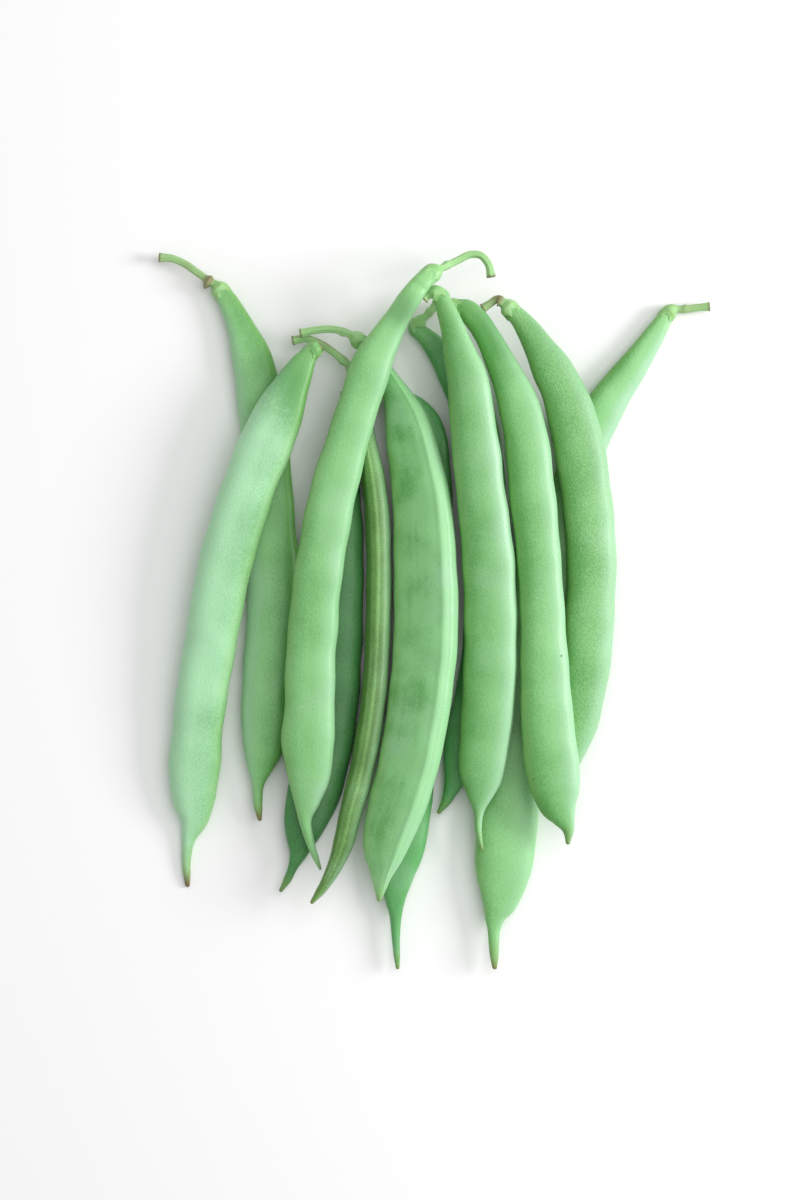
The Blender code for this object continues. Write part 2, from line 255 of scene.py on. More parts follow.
# The pods in the order in which they are laid, lowest first
PODS = [
    Pod(
        "pod_b",
        [(-83, 106.5), (-79.4, 106.2), (-74.9, 104.4), (-71.9, 102.3), (-68.9, 100.2), (-66.2, 98.4)],
        [(-64.1, 96, 5), (-59.3, 87.3, 7.6), (-54.9, 75.3, 12.1), (-52, 57.3, 13.7), (-49.7, 27.3, 15.3),
         (-48.5, 3.3, 15.7), (-50.6, -26.7, 15), (-51.4, -40, 12.8), (-52.5, -46.8, 8.1),
         (-53.1, -52, 3.9), (-53.2, -57, 2.9), (-52.5, -63.6, 2)],
        finish="green_skin", grounded=True, thick=7.6, tone=0.1, knob=(5.2, 0.9), painted_light_side=-0.45, cup=1.0,
        dry=0.9, brown=0.4,
    ),
    Pod(
        "pod_d",
        [(-26.8, 66), (-27, 62)],
        [(-27.2, 58.8, 4.5), (-28.6, 51.3, 8), (-29.2, 42.3, 12), (-29, 27.3, 14.4),
         (-29, 3.3, 15), (-29.6, -14.7, 15), (-30.9, -31.2, 15.2), (-33.3, -44.7, 15.2),
         (-36.9, -56.7, 15.6), (-39.3, -64.5, 12.4), (-40.2, -68.7, 9.2), (-41.1, -73.2, 5.4),
         (-42.6, -77.1, 3), (-44.3, -81, 2.4), (-46.7, -84.9, 1.8)],
        finish="deep_skin", grounded=True, thick=7.6,
    ),
    Pod(
        "pod_g",
        [(-17.5, 70.5), (-15.5, 68.5)],
        [(-13.6, 66.6, 4.8), (-10, 63.6, 6), (-6.6, 60.8, 8.6), (-3.9, 56.8, 10.8), (-2.4, 51.5, 11.9),
         (-1.9, 43.8, 13.2), (-2.2, 24.3, 15.2), (-3, 3.3, 15.9), (-5, -20.7, 16), (-7.1, -40.2, 16),
         (-8.6, -56.7, 15.7), (-9.9, -70.2, 14.2), (-11.4, -79.2, 11), (-11.9, -86.1, 6.6),
         (-11.7, -91.2, 4), (-11.6, -98.7, 2.5), (-11, -108.3, 1.8)],
        finish="deep_skin", grounded=True, thick=7.6, tone=0.4,
    ),
    Pod(
        "pod_h",
        [(0.8, 92.7), (-2, 89.4), (-4.1, 87.6)],
        [(-5.3, 85.5, 4.4), (-2.3, 82.2, 5.6), (0.5, 79.2, 7), (5.3, 72.6, 10), (8.2, 67.8, 11.4),
         (11.6, 58.8, 12.6), (14.1, 43.8, 13.4), (15.4, 24.3, 13.4), (15.6, 3.3, 13.2), (14.9, -11.7, 13.2),
         (12.8, -25.2, 13.2), (10.3, -35.7, 13.2), (8.3, -44.1, 11.6), (6.7, -49.5, 8), (5.3, -53.1, 5),
         (3.7, -57, 3.2), (0.9, -61.3, 1.8)],
        finish="deep_skin", grounded=True, thick=7.6, tone=0.15,
    ),
    Pod(
        "pod_m",
        [(83, 91.8), (79.7, 91.5), (75.2, 90.9), (72, 90.8)],
        [(70.1, 89.2, 4.2), (67.6, 85.4, 5.6), (63.7, 79.4, 7.2), (58.9, 72.5, 9.2), (53.7, 65.4, 11),
         (48.8, 57, 12.2), (44.3, 46.8, 13), (41.2, 33.3, 13), (39.5, 15.3, 11.6), (39, 0.3, 9.2),
         (38.6, -10.2, 6.2), (38.3, -16.2, 4), (38, -24.3, 2)],
        finish="green_skin", grounded=True, thick=6.8, tone=0.4, painted_light_side=0.7, cup=1.0, brown=0.3,
    ),
    Pod(
        "pod_k",
        [(29.3, 40.5), (28.9, 37.5)],
        [(28.4, 34.5, 4.6), (28.2, 27, 6.6), (28, 15.3, 8), (28.1, 3.3, 9.2), (28.1, -8.7, 10.4),
         (27, -23.7, 12.2), (24.5, -41.7, 15.6), (22.5, -58.2, 17.8), (21.2, -71.7, 18), (20.7, -78.3, 16.5),
         (20.1, -83.7, 13.8), (19.2, -88.5, 10.2), (18.2, -92.1, 6.4), (17.9, -95.7, 4),
         (17.9, -100.2, 3.2), (18.2, -108.3, 2.2)],
        finish="green_skin", grounded=True, thick=7.6, tone=0.25, painted_light_side=0.25, dry=0.7,
    ),
    Pod(
        "pod_e",
        [(-42.8, 81.3), (-38.9, 81.9), (-34.4, 80.4), (-29.9, 77.4), (-26, 74.1)],
        [(-23.5, 71.1, 4.5), (-21.7, 63.3, 6.5), (-20.5, 51.3, 10.5), (-18.8, 42.3, 13), (-17.6, 33.3, 14.2),
         (-16.7, 15.3, 14.5), (-16.9, -2.7, 14.5), (-17.7, -20.7, 14.5), (-19.8, -37.2, 14.5),
         (-22.7, -51.6, 13.8), (-25.3, -61.2, 12.8), (-27.2, -69.3, 11), (-30.2, -77.1, 7),
         (-33.2, -82.5, 4), (-37.2, -87.9, 1.8)],
        finish="seam_skin", roll=86, thick=7.2, tone=-0.25, painted_light_side=0.3,
        ridges=((-0.2, -0.2, 0.4), (0.8, 0.25, 0.5), (1.9, -0.3, 0.4), (3.0, 0.3, 0.5)),
        band=(0.2, 4.0, 0.3),
    ),
    Pod(
        "pod_a",
        [(-33.8, 79.4), (-35.2, 78.7)],
        [(-36.9, 77.6, 4.6), (-38.7, 75.3, 6.4), (-42, 69.3, 9.8), (-47.5, 57.3, 15), (-54.9, 39.3, 15.8),
         (-62.5, 15.3, 16), (-67.2, -8.7, 15.6), (-71, -32.7, 15.1), (-72.5, -50.7, 14.8),
         (-72.6, -56.7, 12.9), (-72.5, -62.7, 8.6), (-74.1, -68.7, 4.2), (-74.8, -74.7, 2.8),
         (-74.4, -83.7, 2)],
        finish="pale_skin", roll=4, sag=3, tone=0.35, painted_light_side=-0.4, neck=-0.8, cup=0.2, dry=1.0,
    ),
    Pod(
        "pod_l",
        [(14.3, 90.6), (16.7, 92.1), (18.8, 93.4), (20.9, 92.2)],
        [(23, 90, 5), (25.4, 87.6, 5.8), (28, 84.2, 7.2), (31.6, 78.3, 9.4), (35.1, 72.3, 11.8),
         (38.2, 66.3, 13), (42.1, 54.3, 15), (44.4, 42.3, 15), (46, 29.7, 15), (47, 15.3, 14.8),
         (46.5, 0.3, 14.8), (45.5, -13.2, 15), (43.6, -25.2, 14.8), (41, -36.3, 13.8), (39.3, -43.8, 10.2),
         (38.2, -48.9, 6.4), (37.4, -52.2, 4), (36.9, -57.3, 2)],
        finish="grainy_skin", roll=-6, sag=2, knob=(4.6, 0.6), painted_light_side=0.45, neck=-0.25, cup=1.0,
        brown=0.6,
    ),
    Pod(
        "pod_f",
        [(-40.4, 83.4), (-35.9, 84.3), (-31.4, 84.6), (-26.9, 83.7), (-24.4, 82.4)],
        [(-22.3, 80.7, 4.6), (-17.9, 77.1, 5.2), (-14.5, 70.5, 6.2), (-11.2, 64.2, 9), (-8.8, 57.9, 13.2),
         (-6.3, 46.8, 16.2), (-4, 33.3, 18.4), (-2.9, 15.3, 20), (-2.6, -2.7, 20.5), (-3.4, -17.7, 20.2),
         (-5.5, -33.3, 19.7), (-8.3, -47.7, 18.9), (-11.8, -59.7, 17.7), (-14.1, -67.2, 15.5),
         (-15.5, -74.7, 10.8), (-16.1, -80.4, 5.4), (-16.6, -87, 2.2)],
        finish="mottled_skin", roll=28, thick=9.2, sag=2, lump=0.3, tone=0.4, painted_light_side=0.3, neck=-0.4,
        ridges=((-0.3, 0.3, 0.5), (2.9, -0.4, 0.5), (4.8, 0.9, 0.9)), band=(-0.5, 4.6, 0.25),
    ),
    Pod(
        "pod_j",
        [(4, 91), (5.2, 90.9)],
        [(6.6, 90.6, 5), (9.2, 90.1, 6.2), (12.2, 87.3, 7), (15.6, 82.2, 7.3), (19.1, 75.3, 8.6),
         (24.4, 63.3, 11.6), (27.3, 51.3, 13), (28.9, 36.3, 13.8), (30.7, 19.8, 13.2), (32, 1.8, 13.2),
         (32.7, -14.7, 14.2), (33.5, -31.2, 15.7), (35, -46.2, 16), (36, -52.8, 15), (37.1, -58.5, 11.2),
         (38.7, -62.1, 7), (39.9, -65.1, 4), (39.9, -70.2, 2)],
        finish="green_skin", sag=3, lump=0.12, tone=0.1, painted_light_side=0.5, neck=-0.9,
    ),
    Pod(
        "pod_i",
        [(-3.4, 93), (-2.2, 94), (-0.7, 94.8)],
        [(1.4, 93.9, 4.6), (3.1, 90.3, 5.6), (5.1, 84.9, 6.9), (7.3, 77.1, 9.4), (9.8, 68.7, 12.2),
         (10.9, 58.8, 13.2), (12.4, 46.8, 14.4), (13.6, 35.7, 14.4), (15.4, 21.3, 15.4), (16.6, 0.3, 15.8),
         (16.3, -22.2, 15.9), (15.3, -35.7, 15.4), (14.2, -45.9, 14), (13.9, -51.3, 11.6),
         (13.5, -56.1, 7), (13.3, -60.3, 3.2), (13.2, -65.7, 2), (14.4, -72, 1.5)],
        finish="green_skin", roll=13, sag=3, lump=0.16, tone=0.2, painted_light_side=0.5, neck=-0.25,
        ridges=((-1.5, 0.5, 0.6), (0.0, -0.5, 0.5), (1.5, 0.5, 0.6)),
    ),
    Pod(
        "pod_c",
        [(17, 99.9), (16.1, 103.8), (13.7, 106.5), (10.7, 106.7), (7.7, 105.3), (3.2, 102.9), (0.8, 101.7)],
        [(-1.4, 100.2, 5.2), (-7.4, 93.3, 6.6), (-11.4, 87.3, 7.4), (-14.9, 81.3, 9.3), (-18.2, 75.3, 11.7),
         (-22.2, 63.3, 12), (-26, 51.3, 12.5), (-29.4, 39.3, 13.6), (-34.2, 15.3, 14.2),
         (-36.8, -8.7, 14.8), (-37.7, -32.7, 15.3), (-38, -39.3, 15.9), (-37.7, -45.3, 14.4),
         (-37.8, -50.7, 12.2), (-38.3, -56.7, 8.2), (-38.8, -62.7, 4), (-37.5, -68.7, 2.7),
         (-34.1, -78, 1.4)],
        # neck=1.0 is painted light on the upper end, which tilts away from the lamps
        finish="green_skin", roll=5, sag=4, tone=0.25, painted_light_side=0.3, neck=1.0, cup=0.35, brown=0.1,
    ),
]


def smooth(knots, values, places):
    """A smooth curve through values at knots, read at places."""
    slopes = np.gradient(values, knots, axis=0)
    cell = np.clip(np.searchsorted(knots, places, side="right") - 1, 0, len(knots) - 2)
    span = knots[cell + 1] - knots[cell]
    t = (places - knots[cell]) / span
    if np.ndim(values) > 1:
        t = t[:, None]
        span = span[:, None]
    first = values[cell] * (2 * t**3 - 3 * t**2 + 1)
    last = values[cell + 1] * (3 * t**2 - 2 * t**3)
    leave = slopes[cell] * span * (t**3 - 2 * t**2 + t)
    arrive = slopes[cell + 1] * span * (t**3 - t**2)
    return first + last + leave + arrive


def ease(x):
    """Rises smoothly from 0 to 1 as x does."""
    x = np.clip(x, 0.0, 1.0)
    return x * x * (3 - 2 * x)


def hump(distance, width):
    """1 where distance is 0, and smoothly down to nearly 0 at twice the width."""
    return np.exp(-((distance / width) ** 2))


def half_width(pod, places):
    """Half of the pod's width at places along it: stalk, cup, then body."""
    body = smooth(pod.width_knots, pod.widths, np.maximum(places, pod.lip)) / 2
    wave = EDGE_WAVE * np.sin(2 * np.pi * (places - pod.lip) / SEED_PITCH)
    body = body + wave * ease((body - EDGE_WAVE_FROM) / EDGE_WAVE_FROM)
    stalk = STALK_WIDTH / 2 * (1 + CUT_END_SWELL * np.exp(-places / CUT_END_REACH))
    cup = pod.widths[0] / 2 + CUP_STEP
    opening = ease((places - pod.lip + CUP_LENGTH) / (CUP_LENGTH * CUP_WIDENS))
    return np.where(places < pod.lip, stalk + (cup - stalk) * opening, body)


def half_thickness(pod, places, across):
    """Half of the thickness: the stalk and cup are round, the body is flat."""
    widest = pod.widths.max() / 2
    flat = pod.thick / 2 * (across / widest) ** SLIM_POWER
    return np.where(places < pod.lip, across, np.minimum(flat, across * ROUNDEST))


def seed_swelling(pod, places):
    """0 to 1 over each seed along the body, and 0 at the neck and the beak."""
    along = (places - pod.lip) / (pod.length - pod.lip)
    there = ease((along - SEEDS_FROM) / SEEDS_FADE) * ease((SEEDS_TO - along) / SEEDS_FADE)
    return there * (0.5 + 0.5 * np.cos(2 * np.pi * (places - pod.lip) / SEED_PITCH))


def middle_line(pod, places):
    """Points of the pod's middle line, and the directions along, to the side and up."""
    plan = smooth(pod.knots, pod.line, places)
    heights = np.zeros(len(places)) if pod.heights is None else np.interp(places, *pod.heights)
    points = np.column_stack([plan, heights])
    along = np.gradient(points, places, axis=0)
    along /= np.linalg.norm(along, axis=1)[:, None]
    side = np.cross((0.0, 0.0, 1.0), along)
    side /= np.linalg.norm(side, axis=1)[:, None]
    up = np.cross(along, side)
    return points, side, up


def rolled(pod, across, rise):
    """How far a section's (across, rise) stands out to the side and up once the pod is rolled."""
    out = across * np.cos(pod.roll) - rise * np.sin(pod.roll)
    lift = across * np.sin(pod.roll) + rise * np.cos(pod.roll)
    return out, lift


def turn_out(pod, frames, across, rise):
    """Points of a section's (across, rise) in space, rolled about the middle line."""
    points, side, up = frames
    out, lift = rolled(pod, across, rise)
    return points[:, None] + out[:, :, None] * side[:, None] + lift[:, :, None] * up[:, None]


def rounded_section(a, b, turn):
    """A superellipse of half width a and half thickness b, rounder where it isn't flat."""
    flatness = ease((a / b - FLAT_FROM) / FLAT_FADE)
    power = 2 / (2 + (SECTION_POWER - 2) * flatness)
    across = a * np.sign(np.cos(turn)) * np.abs(np.cos(turn)) ** power
    rise = b * np.sign(np.sin(turn)) * np.abs(np.sin(turn)) ** power
    return across, rise, flatness


def seam_ridges(turn, rise):
    """The double ridge on the seam side and the single one on the other, as the laid solids have them."""
    double = hump(np.abs(rise) - SEAM_SPREAD, SEAM_WIDTH) - GROOVE_DEPTH * hump(rise, GROOVE_WIDTH)
    single = hump(rise, BACK_WIDTH)
    return LAID_RIDGE * np.where(np.cos(turn) > 0, double, -BACK_RIDGE * single)


def round_from_seam(across, rise):
    """Distance from the seam to each point of a ring, round either side, and to the other seam."""
    step_across = np.diff(across, axis=1, append=across[:, :1])
    step_up = np.diff(rise, axis=1, append=rise[:, :1])
    steps = np.hypot(step_across, step_up)
    gone = np.cumsum(steps, axis=1) - steps
    girth = steps.sum(axis=1, keepdims=True)
    widen = girth.max() / girth
    return np.where(gone * 2 < girth, gone, gone - girth) * widen, girth.max() / 2


def fine_ridges(pod, arc, far):
    """Height of the lines beside the seam, and of the one along the other seam."""
    lines = sum(height * hump(arc - place, width) for place, height, width in pod.ridges)
    return lines - BACK_GROOVE * hump(far - np.abs(arc), BACK_WIDTH)


def seed_thickening(swelling, turn):
    """How much thicker the section gets over a seed, and how much thinner at its edges."""
    return 1 + SEED_SWELL * swelling * (2 * np.abs(np.sin(turn)) - 1)


def plain_skin(pod, places, angles):
    """The skin by which a pod is laid: one ring of points for each place."""
    a = half_width(pod, places)[:, None]
    b = half_thickness(pod, places, a[:, 0])[:, None]
    turn = np.radians(angles)[None, :]
    across, rise, flatness = rounded_section(a, b, turn)
    rise = rise * seed_thickening(seed_swelling(pod, places)[:, None], turn)
    across = across + flatness * seam_ridges(turn, rise)
    return turn_out(pod, middle_line(pod, places), across, rise)


class HeightMap:
    """The top of everything laid so far, on a grid over the surface."""

    def __init__(self):
        count = int(2 * MAP_HALF / MAP_CELL)
        self.top = np.zeros((count, count))

    def cells(self, points):
        return ((points[..., :2] + MAP_HALF) / MAP_CELL).astype(int)

    def add(self, points):
        """Raises the map under each point, and in the cells round it."""
        cells = self.cells(points)
        for step in np.ndindex(3, 3):
            shifted = cells + np.array(step) - 1
            np.maximum.at(self.top, (shifted[..., 0], shifted[..., 1]), points[..., 2])

    def keep_above(self, points):
        """The height that each point must keep above."""
        cells = self.cells(points)
        top = self.top[cells[..., 0], cells[..., 1]]
        return np.where(top > 0, top + CLEARANCE, -PRESSED_FLAT)


def lay(pod, ground):
    """Finds the heights of the pod's middle line, then adds the pod to the ground."""
    places = np.arange(0, pod.length, LAY_STEP)
    skin = plain_skin(pod, places, LAY_ANGLES)
    below = -PRESSED_FLAT if pod.grounded else ground.keep_above(skin)
    need = (below - skin[..., 2]).max(axis=1)
    weight = half_width(pod, places) ** BALANCE_POWER
    middle = (places * weight).sum() / weight.sum()
    away = places - middle
    reach = (pod.length - pod.lip) / 2
    bow = -pod.sag * np.minimum(np.abs(away) / reach, BOW_END) ** 2
    below_neck = places > pod.lip + LEANS_FROM * pod.length
    body = below_neck & (places < pod.lip + LEANS_TO * (pod.length - pod.lip))
    slopes = np.linspace(-STEEPEST, STEEPEST, SLOPES_TRIED)
    rises = ((need - bow)[body][None, :] - slopes[:, None] * away[body][None, :]).max(axis=1)
    best = rises.argmin()
    line = rises[best] + slopes[best] * away + bow
    short = np.maximum(need - line, 0.0)
    spread = hump(places[:, None] - places[None, :], BEND_REACH)
    pod.heights = (places, line + (spread * short[None, :]).max(axis=1))
    ground.add(plain_skin(pod, places, LAY_ANGLES))


def fine_places(pod, step):
    """Where the fine rings stand: closer round the cup and at the beak."""
    cup = max(pod.lip - CUP_LENGTH, SHORTEST_STALK)
    neck = pod.lip + COLLAR
    last = pod.length - pod.widths[-1] / 2
    stalk = np.arange(CUT_INSET, cup, step * STALK_RINGS)
    calyx = np.arange(cup, neck, step * CALYX_RINGS)
    body = np.arange(neck, last - BEAK_END, step)
    beak = np.linspace(last - BEAK_END, last, round(BEAK_END / (step * BEAK_RINGS)))
    return np.concatenate([stalk, calyx, body, beak])


def fine_angles(sides):
    """Angles of a ring's points: evenly far apart, and twice as close beside the seam."""
    turn = np.linspace(0, 2 * np.pi, RING_SAMPLES)
    across, rise = rounded_section(2.0, 1.0, turn)[:2]
    crowding = 1 + ease(np.cos(turn[:-1]) * SEAM_CROWDING)
    steps = np.hypot(np.diff(across), np.diff(rise)) * crowding
    gone = np.concatenate([[0.0], np.cumsum(steps)])
    return np.interp(np.linspace(0, gone[-1], sides, endpoint=False), gone, turn)


def slow_waves(pod, places, turn):
    """A soft unevenness of the skin, about -1 to 1, that differs from pod to pod."""
    random = np.random.default_rng(PODS.index(pod) + WAVE_SEED)
    total = np.zeros(np.broadcast(places, turn).shape)
    for _ in range(SLOW_WAVES):
        length = random.uniform(*WAVE_LENGTHS)
        turns = random.integers(0, WAVE_TURNS)
        phase = random.uniform(0, 2 * np.pi, 2)
        total = total + np.sin(2 * np.pi * places / length + phase[0]) * np.cos(turns * turn + phase[1])
    return total / SLOW_WAVES


class FineSkin:
    """The finished skin of a pod: rings of points, and what the material reads at each."""

    def __init__(self, pod, shape):
        self.pod = pod
        places = fine_places(pod, shape.ring_step / MM)
        turn = fine_angles(shape.sides)[None, :]
        self.cup = self.cup_with_lobes(places[:, None], turn, shape.lobe_length / MM)
        a, b = self.half_sizes(places[:, None], turn)
        across, rise, flatness = rounded_section(a, b, turn)
        swelling = seed_swelling(pod, places)[:, None]
        rise = rise * seed_thickening(swelling, turn)
        arc, far = round_from_seam(across, rise)
        ridges = flatness * fine_ridges(pod, arc, far)
        lit, painted_sheen = self.lit_side_and_sheen(across, rise)
        # Painted light and shade: the skin is lighter towards the lit side and deeper on the side away from
        # the lamps
        tone = pod.tone + abs(pod.painted_light_side) * np.minimum(lit, LIT_TONE)
        tone = tone + flatness * self.pale_band(arc)
        face = hump(across, a * FACE_WIDTH) * ease((a - FACE_FROM) / FACE_FADE)
        seeds = swelling * face
        drift = slow_waves(pod, places[:, None], turn) * ease((a - DRIFT_FROM) / DRIFT_FADE)
        relief = pod.lump * (seeds - HOLLOWS * face * (swelling > 0)) + shape.unevenness / MM * drift
        relief = relief + shape.seam_ridge / MM * ridges
        tilt = np.hypot(np.cos(turn) * b, np.sin(turn) * a)
        across = across + relief * np.cos(turn) * b / tilt
        rise = rise + relief * np.sin(turn) * a / tilt
        frames = middle_line(pod, places)
        along = (places - pod.lip)[:, None] + 0 * turn
        # The tone is paler on the ridge crests and deeper in the grooves beside the seam, as painted
        # highlight and shade; neck changes it towards the upper end
        tone = tone + PAINTED_RIDGE_SHADING * ridges + pod.neck * (1 - ease(along / NECK_REACH))
        to_tip = (pod.length - places)[:, None] + 0 * turn
        from_cut = places[:, None] + 0 * turn
        shift = np.random.default_rng(PODS.index(pod)).uniform(0, GRAIN_SPREAD, 3)
        self.rings = {
            "point": turn_out(pod, frames, across, rise),
            "grain": np.stack([along, across, rise], axis=-1) + shift,
            "reach": np.stack([along, to_tip, from_cut], axis=-1),
            # The third number of parts marks the side away from the lamps, where the edge colour is painted
            # as shade
            "parts": np.stack([self.cup * pod.cup, seeds, -lit], axis=-1),
            # habit holds the tone with its painted light and shade, the painted sheen, and how dry the pod
            # is
            "habit": np.stack([tone, painted_sheen * self.painted_sheen_left(along), self.dryness(along, rise / b)], axis=-1),
        }
        self.close_ends(frames[0])

    def cup_with_lobes(self, places, turn, lobe_length):
        """How far each point is on the calyx cup, whose edge has pointed lobes."""
        wave = np.abs(((turn / (2 * np.pi) * LOBES + LOBE_START) % 1.0) * 2 - 1)
        edge = self.pod.lip + lobe_length * (wave**LOBE_POWER - LOBE_SET_BACK)
        start = ease((places - self.pod.lip + CUP_LENGTH) / CUP_FADE)
        return ease((edge - places) / LOBE_EDGE) * start

    def lit_side_and_sheen(self, across, rise):
        """How far each point is towards the lit side, -1 to 1, and the painted sheen there, on the lit
        shoulder that faces up.
        """
        pod = self.pod
        out, lift = rolled(pod, across, rise)
        lit = out / np.abs(out).max(axis=1, keepdims=True) * np.sign(pod.painted_light_side)
        faces_up = ease(lift / np.abs(lift).max(axis=1, keepdims=True) * UPPER_SLOPE + UPPER_START)
        return lit, abs(pod.painted_light_side) * ease((lit - PAINTED_SHEEN_FROM) / PAINTED_SHEEN_FADE) * faces_up

    def pale_band(self, arc):
        """How much lighter the skin is on the strip along the seam."""
        start, stop, lightness = self.pod.band
        return lightness * ease((arc - start) / BAND_FADE + 0.5) * ease((stop - arc) / BAND_FADE + 0.5)

    def painted_sheen_left(self, along):
        """The share of the painted sheen that stays, which is less towards a deep neck."""
        thinner = min(max(-2 * self.pod.neck, 0.0), PAINTED_SHEEN_LOST)
        return 1 - thinner * (1 - ease(along / PAINTED_SHEEN_REACH))

    def dryness(self, along, height):
        """How browned the stalk is, more so at the bud scar, with extra brown on its underside as painted
        shade, and how dry the beak.
        """
        pod = self.pod
        scar = pod.knob[1] * hump(along + pod.knob[0], SCAR_REACH)
        # The extra brown on the stalk's underside is painted shade
        brown = pod.brown + scar * SCAR_BROWN + PAINTED_SHADE_BELOW * ease(-height)
        return np.where(along < NECK_REACH, brown, pod.dry)

    def half_sizes(self, places, turn):
        """Half width and half thickness, with the cup's lobes, the ribs and the bud scar."""
        pod = self.pod
        from_lip = places - pod.lip
        a = half_width(pod, places) + 0 * turn
        b = half_thickness(pod, places, a)
        body = half_thickness(pod, pod.lip + 0.1, pod.widths[0] / 2) + CUP_STEP
        b = np.where(from_lip < 0, a + (body - a) * ease(from_lip / CUP_ROUNDING + 1), b)
        thick_lip = CUP_STEP * self.cup * (from_lip >= 0)
        stalk = ease(-(from_lip + RIBS_END) / RIBS_FADE)
        ribs = 1 + RIB_DEPTH * stalk * np.cos(STALK_RIBS * turn + places * RIB_TWIST)
        one_sided = 1.1 + np.cos(turn - KNOB_SIDE)
        knob = pod.knob[1] * hump(from_lip + pod.knob[0], KNOB_REACH) * one_sided
        taper = 1 - TIP_TAPER * ease(1 - (pod.length - places) / TIP_REACH)
        grow = ribs * (1 + knob) * taper
        return (a + thick_lip) * grow, (b + thick_lip) * grow

    def close_ends(self, middle):
        """Adds the cut face of the stalk and the rounded tip of the beak."""
        tip_rings = [(np.cos(t), np.sin(t)) for t in np.radians(TIP_ANGLES)]
        points = self.rings["point"]
        radius = np.linalg.norm(points[-1] - middle[-1], axis=1).mean()
        step = middle[1] - middle[0]
        start = [middle[0] + (points[0] - middle[0]) * grow + step * (away - CUT_INSET) / CUT_PITCH
                 for grow, away in CUT_RINGS]
        step = (middle[-1] - middle[-2]) / np.linalg.norm(middle[-1] - middle[-2])
        end = [middle[-1] + (points[-1] - middle[-1]) * grow + step * radius * away
               for grow, away in tip_rings]
        self.rings["point"] = np.concatenate([start, points, end])
        for key in ("grain", "reach", "parts", "habit"):
            values = self.rings[key]
            first = np.repeat(values[:1], len(CUT_RINGS), axis=0)
            last = np.repeat(values[-1:], len(tip_rings), axis=0)
            if key == "reach":
                first[..., 2] = 0.0
                last[..., 1] = 0.0
            self.rings[key] = np.concatenate([first, values, last])

    def mesh(self, name):
        """The skin as a closed mesh, resting on the surface, in metres."""
        points = self.rings["point"] + (*PLAN_SHIFT, 0.0)
        points[..., 2] = np.maximum(points[..., 2], 0.0)
        count, sides = points.shape[:2]
        row = np.arange(count - 1)[:, None] * sides
        near = np.arange(sides)[None, :]
        far = (near + 1) % sides
        quads = np.stack([row + near, row + far, row + sides + far, row + sides + near], axis=-1)
        mesh = bpy.data.meshes.new(name)
        mesh.from_pydata((points.reshape(-1, 3) * MM).tolist(), [], quads.reshape(-1, 4).tolist())
        for key in ("grain", "reach", "parts", "habit"):
            layer = mesh.attributes.new(key, "FLOAT_VECTOR", "POINT")
            layer.data.foreach_set("vector", self.rings[key].astype(np.float32).ravel())
        return mesh


class Value:
    """A number that nodes work out.  Sums on it add Math nodes."""

    def __init__(self, graph, socket):
        self.graph = graph
        self.socket = socket

    def math(self, operation, first, second=0.0):
        return self.graph.node("ShaderNodeMath", {"operation": operation}, {0: first, 1: second})

    def __add__(self, other):
        return self.math("ADD", self, other)

    def __radd__(self, other):
        return self.math("ADD", other, self)

    def __sub__(self, other):
        return self.math("SUBTRACT", self, other)

    def __rsub__(self, other):
        return self.math("SUBTRACT", other, self)

    def __mul__(self, other):
        return self.math("MULTIPLY", self, other)

    def __rmul__(self, other):
        return self.math("MULTIPLY", other, self)


class Graph:
    """The nodes of one material."""

    def __init__(self, name):
        self.material = bpy.data.materials.new(name)
        self.material.use_nodes = True
        self.tree = self.material.node_tree
        self.tree.nodes.clear()

    def node(self, kind, settings, inputs, output=0):
        """Adds a node: its settings first, then the values or links of its sockets."""
        made = self.tree.nodes.new(kind)
        for key, setting in settings.items():
            setattr(made, key, setting)
        for key, given in inputs.items():
            if isinstance(given, Value):
                self.tree.links.new(given.socket, made.inputs[key])
            else:
                made.inputs[key].default_value = given
        if not made.outputs:
            return None
        return Value(self, made.outputs[output])

    def attribute(self, name):
        """A vector that the mesh holds at each of its points."""
        return self.node("ShaderNodeAttribute", {"attribute_name": name}, {}, "Vector")

    def split(self, vector, axis):
        """One number of a vector: X, Y or Z."""
        return self.node("ShaderNodeSeparateXYZ", {}, {"Vector": vector}, axis)

    def noise(self, vector, scale, detail=2.0, roughness=0.5):
        """Soft noise, 0 to 1, about its middle."""
        values = {"Vector": vector, "Scale": scale, "Detail": detail, "Roughness": roughness}
        return self.node("ShaderNodeTexNoise", {"noise_dimensions": "3D"}, values, "Fac")

    def rise(self, value, low, high):
        """Goes smoothly from 0 to 1 as value goes from low to high."""
        span = {"Value": value, "From Min": low, "From Max": high}
        return self.node("ShaderNodeMapRange", {"interpolation_type": "SMOOTHSTEP"}, span)

    def mix(self, share, first, second):
        """Goes from the first colour to the second."""
        return self.node("ShaderNodeMix", {"data_type": "RGBA"}, {0: share, 6: first, 7: second}, 2)


class Finish:
    """How one kind of skin differs: names of its two greens, and how strong its marks are."""

    def __init__(self, deep, light, patches=0.75, mottle=0.35, streaks=0.15, seeds=0.05, grain=0.7,
                 edge=0.35, rough=0.0003):
        self.deep = deep
        self.light = light
        self.patches = patches
        self.mottle = mottle
        self.streaks = streaks
        self.seeds = seeds
        self.grain = grain
        # edge is how strongly the edge colour shows as painted shade on the side away from the lamps
        self.edge = edge
        self.rough = rough


FINISHES = {
    "pale_skin": Finish("pale_deep", "pale_light"),
    "green_skin": Finish("green_deep", "green_light", patches=0.55),
    # deep_skin is a darker, bluer copy of the common skin: painted shade for the pods that lie under the
    # others
    "deep_skin": Finish("painted_shade_deep", "painted_shade_light"),
    "seam_skin": Finish("seam_deep", "seam_light", mottle=0.5, streaks=0.6),
    "mottled_skin": Finish("mottled_deep", "mottled_light", patches=1.2, mottle=1.1, streaks=0.5,
                           seeds=-0.25),
    "grainy_skin": Finish("grainy_deep", "grainy_light", grain=1.3, rough=0.0005),
}


def opaque(colour):
    """A colour property as a shader socket takes it."""
    return (*colour, 1.0)


